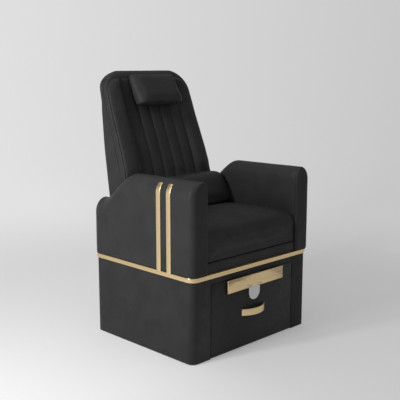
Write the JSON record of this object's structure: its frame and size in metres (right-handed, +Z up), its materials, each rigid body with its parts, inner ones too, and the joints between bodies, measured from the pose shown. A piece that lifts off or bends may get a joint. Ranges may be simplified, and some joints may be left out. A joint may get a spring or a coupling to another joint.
{
  "type": "pedicure chair",
  "caption": "Upholstered pedicure armchair on a box plinth, with a reclining channelled back, metal trims and a pull-out basin drawer with a fold-down footrest.",
  "frame": {"origin": "middle of the footprint on the floor, on the bottom face of the centre glide", "axes": "+Z up, -Y towards the front, where the drawer opens, +X towards the right side as seen from the front"},
  "size_m": [0.802, 0.8123, 1.24],
  "materials": {
    "leatherette": "satin",
    "gold_metal": "satin",
    "grey_bracket": "satin",
    "plinth_black": "satin",
    "glide_plastic": "matte",
    "board": "matte",
    "drawer_board": "matte",
    "slide_steel": "satin",
    "screw_steel": "satin",
    "basin_acrylic": "gloss",
    "drain_chrome": "gloss",
    "hinge_steel": "satin"
  },
  "bodies": {
    "body": {"plinth_left": "plinth_black", "plinth_right": "plinth_black", "plinth_rear": "plinth_black", "plinth_header": "plinth_black", "plinth_floor": "board", "runner_board_left": "board", "runner_board_right": "board", "glides": "glide_plastic", "deck_board": "board", "belt_trim": "gold_metal", "arm_cover_left": "leatherette", "arm_cover_right": "leatherette", "arm_frame_left": "board", "arm_frame_right": "board", "arm_bolts": "screw_steel", "trim_strips_left": "gold_metal", "trim_strips_right": "gold_metal", "seat_front_rail": "leatherette", "seat_deck": "board", "seat_cushion": "leatherette", "rear_panel": "plinth_black", "slide_outer_left": "slide_steel", "slide_outer_right": "slide_steel", "slide_screws_body": "screw_steel", "recline_bracket_left": "hinge_steel", "recline_bracket_right": "hinge_steel", "recline_pins": "screw_steel", "bracket_screws_deck": "screw_steel"},
    "slide_mid": {"slide_middle_left": "slide_steel", "slide_middle_right": "slide_steel"},
    "drawer": {"drawer_front": "plinth_black", "drawer_side_left": "drawer_board", "drawer_side_right": "drawer_board", "drawer_back": "drawer_board", "drawer_bottom": "drawer_board", "slide_inner_left": "slide_steel", "slide_inner_right": "slide_steel", "slide_screws_drawer": "screw_steel", "drawer_handle": "gold_metal", "handle_screws": "screw_steel", "foot_basin": "basin_acrylic", "basin_drain": "drain_chrome", "footrest_bracket": "grey_bracket", "footrest_screws": "screw_steel", "footrest_pin": "screw_steel"},
    "footrest": {"footrest_plate": "gold_metal"},
    "back": {"back_frame": "board", "back_cushion": "leatherette", "back_rear_cover": "leatherette", "head_pillow": "leatherette", "lumbar_bolster": "leatherette", "recline_leaf_left": "hinge_steel", "recline_leaf_right": "hinge_steel", "leaf_screws": "screw_steel"}
  },
  "joints": [
    {"name": "drawer_slide", "type": "slide", "parent": "body", "child": "drawer", "axis": [0, -1, 0], "range_m": [0, 0.38]},
    {"name": "slide_mid_slide", "type": "slide", "parent": "body", "child": "slide_mid", "axis": [0, -1, 0], "range_m": [0, 0.19]},
    {"name": "footrest_fold", "type": "hinge", "parent": "drawer", "child": "footrest", "pos_m": [0, -0.3448, 0.287], "axis": [1, 0, 0], "range_deg": [0, 90]},
    {"name": "back_recline", "type": "hinge", "parent": "body", "child": "back", "pos_m": [0, 0.285, 0.433], "axis": [-1, 0, 0], "range_deg": [0, 30]}
  ],
  "couplings": [
    {"joint": "slide_mid_slide", "follows": "drawer_slide", "ratio": 0.5}
  ]
}
